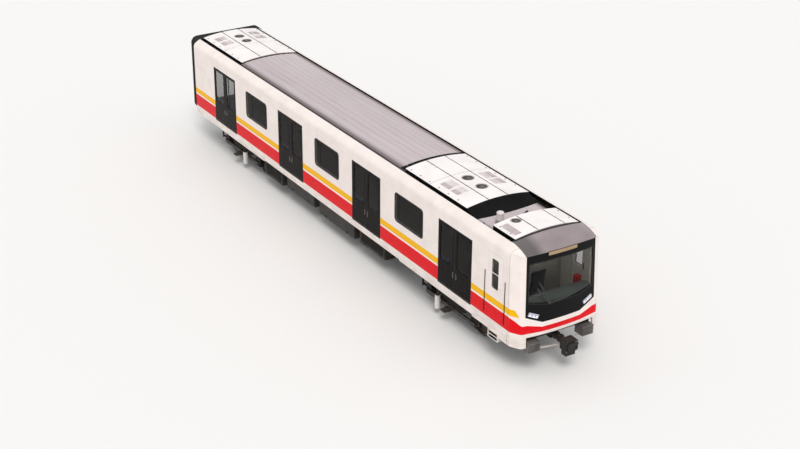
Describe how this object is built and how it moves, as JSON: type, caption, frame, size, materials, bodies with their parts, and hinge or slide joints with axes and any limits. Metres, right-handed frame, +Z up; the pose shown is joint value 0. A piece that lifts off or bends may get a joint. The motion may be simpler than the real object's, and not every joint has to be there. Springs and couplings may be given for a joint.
{
  "type": "metro car",
  "caption": "Leading metro car with a driver's cab, plug doors, folded gangway, two bogies on the rails' gauge and a swinging front coupler.",
  "frame": {"origin": "on the floor, at the lowest point of the wheel flanges, below the middle of the car's overall length", "axes": "+X forward to the cab, +Y to the left, +Z up"},
  "size_m": [19.8, 2.74, 3.728],
  "materials": {
    "underframe_paint": "satin dark grey paint",
    "body_paint": "gloss white paint",
    "roof_paint": "matt grey roof paint",
    "baffle_paint": "matt black paint",
    "roof_unit_paint": "satin white paint",
    "antenna_plastic": "satin white moulding",
    "interior_panel": "satin light grey panel",
    "gangway_metal": "satin dark grey paint",
    "bellows_rubber": "matt black coated rubber",
    "running_gear_paint": "dusty dark paint",
    "mask_gloss": "gloss black",
    "windscreen_glass": "tinted laminated glass",
    "fairing_paint": "gloss dark grey paint",
    "lamp_glass": "clear lens over a bright reflector",
    "wiper_plastic": "satin grey",
    "apron_paint": "dusty grey paint",
    "door_paint": "gloss black",
    "side_glass": "dark tinted glass",
    "handrail_steel": "brushed",
    "seat_plastic": "satin moulded shell",
    "desk_plastic": "matt dark moulding",
    "seat_fabric": "dark woven cloth",
    "equipment_paint": "satin dark grey paint",
    "tank_paint": "satin black paint",
    "coupler_steel": "dark cast steel",
    "suspension_rubber": "matt black rubber",
    "motor_paint": "dusty dark grey paint",
    "collector_insulator": "cream insulator",
    "wheel_steel": "rolled steel with bright treads"
  },
  "bodies": {
    "car_body": {"underframe": "underframe_paint", "side_wall_right": "body_paint", "side_wall_left": "body_paint", "cant_rails": "body_paint", "cross_beams": "underframe_paint", "roof_vault": "roof_paint", "roof_wells": "roof_paint", "roof_baffle": "baffle_paint", "roof_units": "roof_unit_paint", "roof_antenna": "antenna_plastic", "end_wall": "interior_panel", "gangway_frame": "gangway_metal", "gangway_bellows": "bellows_rubber", "rear_drawbar": "running_gear_paint", "nose_shell": "body_paint", "front_mask": "mask_gloss", "windscreen": "windscreen_glass", "roof_fairing": "fairing_paint", "headlamps": "lamp_glass", "wiper": "wiper_plastic", "front_apron": "apron_paint", "passenger_doors": "door_paint", "side_glass": "side_glass", "cab_handrails": "handrail_steel", "cab_steps": "body_paint", "seats": "seat_plastic", "grab_poles": "handrail_steel", "cab_bulkhead": "interior_panel", "driver_desk": "desk_plastic", "driver_seat": "seat_fabric", "equipment_boxes": "equipment_paint", "air_tanks": "tank_paint"},
    "cab_door_r": {"cab_door_right": "body_paint", "cab_door_glass_right": "side_glass"},
    "cab_door_l": {"cab_door_left": "body_paint", "cab_door_glass_left": "side_glass"},
    "saloon_door": {"bulkhead_door": "interior_panel"},
    "coupler": {"front_coupler": "coupler_steel"},
    "bogie_rear": {"bogie_frame_rear": "running_gear_paint", "suspension_rear": "suspension_rubber", "traction_motors_rear": "motor_paint", "collector_gear_rear": "collector_insulator"},
    "bogie_front": {"bogie_frame_front": "running_gear_paint", "suspension_front": "suspension_rubber", "traction_motors_front": "motor_paint", "collector_gear_front": "collector_insulator"},
    "wheelset_1": {"wheelset_1": "wheel_steel"},
    "wheelset_2": {"wheelset_2": "wheel_steel"},
    "wheelset_3": {"wheelset_3": "wheel_steel"},
    "wheelset_4": {"wheelset_4": "wheel_steel"}
  },
  "joints": [
    {"name": "bogie_rear_yaw", "type": "hinge", "parent": "car_body", "child": "bogie_rear", "pos_m": [-6.7, 0, 0.7], "axis": [0, 0, 1], "range_deg": [-6, 6]},
    {"name": "bogie_front_yaw", "type": "hinge", "parent": "car_body", "child": "bogie_front", "pos_m": [5.9, 0, 0.7], "axis": [0, 0, 1], "range_deg": [-6, 6]},
    {"name": "wheelset_1_spin", "type": "hinge", "parent": "bogie_rear", "child": "wheelset_1", "pos_m": [-7.8, 0, 0.453], "axis": [0, 1, 0], "continuous": true},
    {"name": "wheelset_2_spin", "type": "hinge", "parent": "bogie_rear", "child": "wheelset_2", "pos_m": [-5.6, 0, 0.453], "axis": [0, 1, 0], "continuous": true},
    {"name": "wheelset_3_spin", "type": "hinge", "parent": "bogie_front", "child": "wheelset_3", "pos_m": [4.8, 0, 0.453], "axis": [0, 1, 0], "continuous": true},
    {"name": "wheelset_4_spin", "type": "hinge", "parent": "bogie_front", "child": "wheelset_4", "pos_m": [7, 0, 0.453], "axis": [0, 1, 0], "continuous": true},
    {"name": "cab_door_right_hinge", "type": "hinge", "parent": "car_body", "child": "cab_door_r", "pos_m": [8.02, -1.31, 2.2], "axis": [0, 0, 1], "range_deg": [0, 85]},
    {"name": "cab_door_left_hinge", "type": "hinge", "parent": "car_body", "child": "cab_door_l", "pos_m": [8.02, 1.31, 2.2], "axis": [0, 0, -1], "range_deg": [0, 85]},
    {"name": "saloon_door_hinge", "type": "hinge", "parent": "car_body", "child": "saloon_door", "pos_m": [7.57, 0.324, 2.2], "axis": [0, 0, -1], "range_deg": [0, 90]},
    {"name": "coupler_swing", "type": "hinge", "parent": "car_body", "child": "coupler", "pos_m": [9, 0, 0.844], "axis": [0, 0, 1], "range_deg": [-12, 12]}
  ]
}
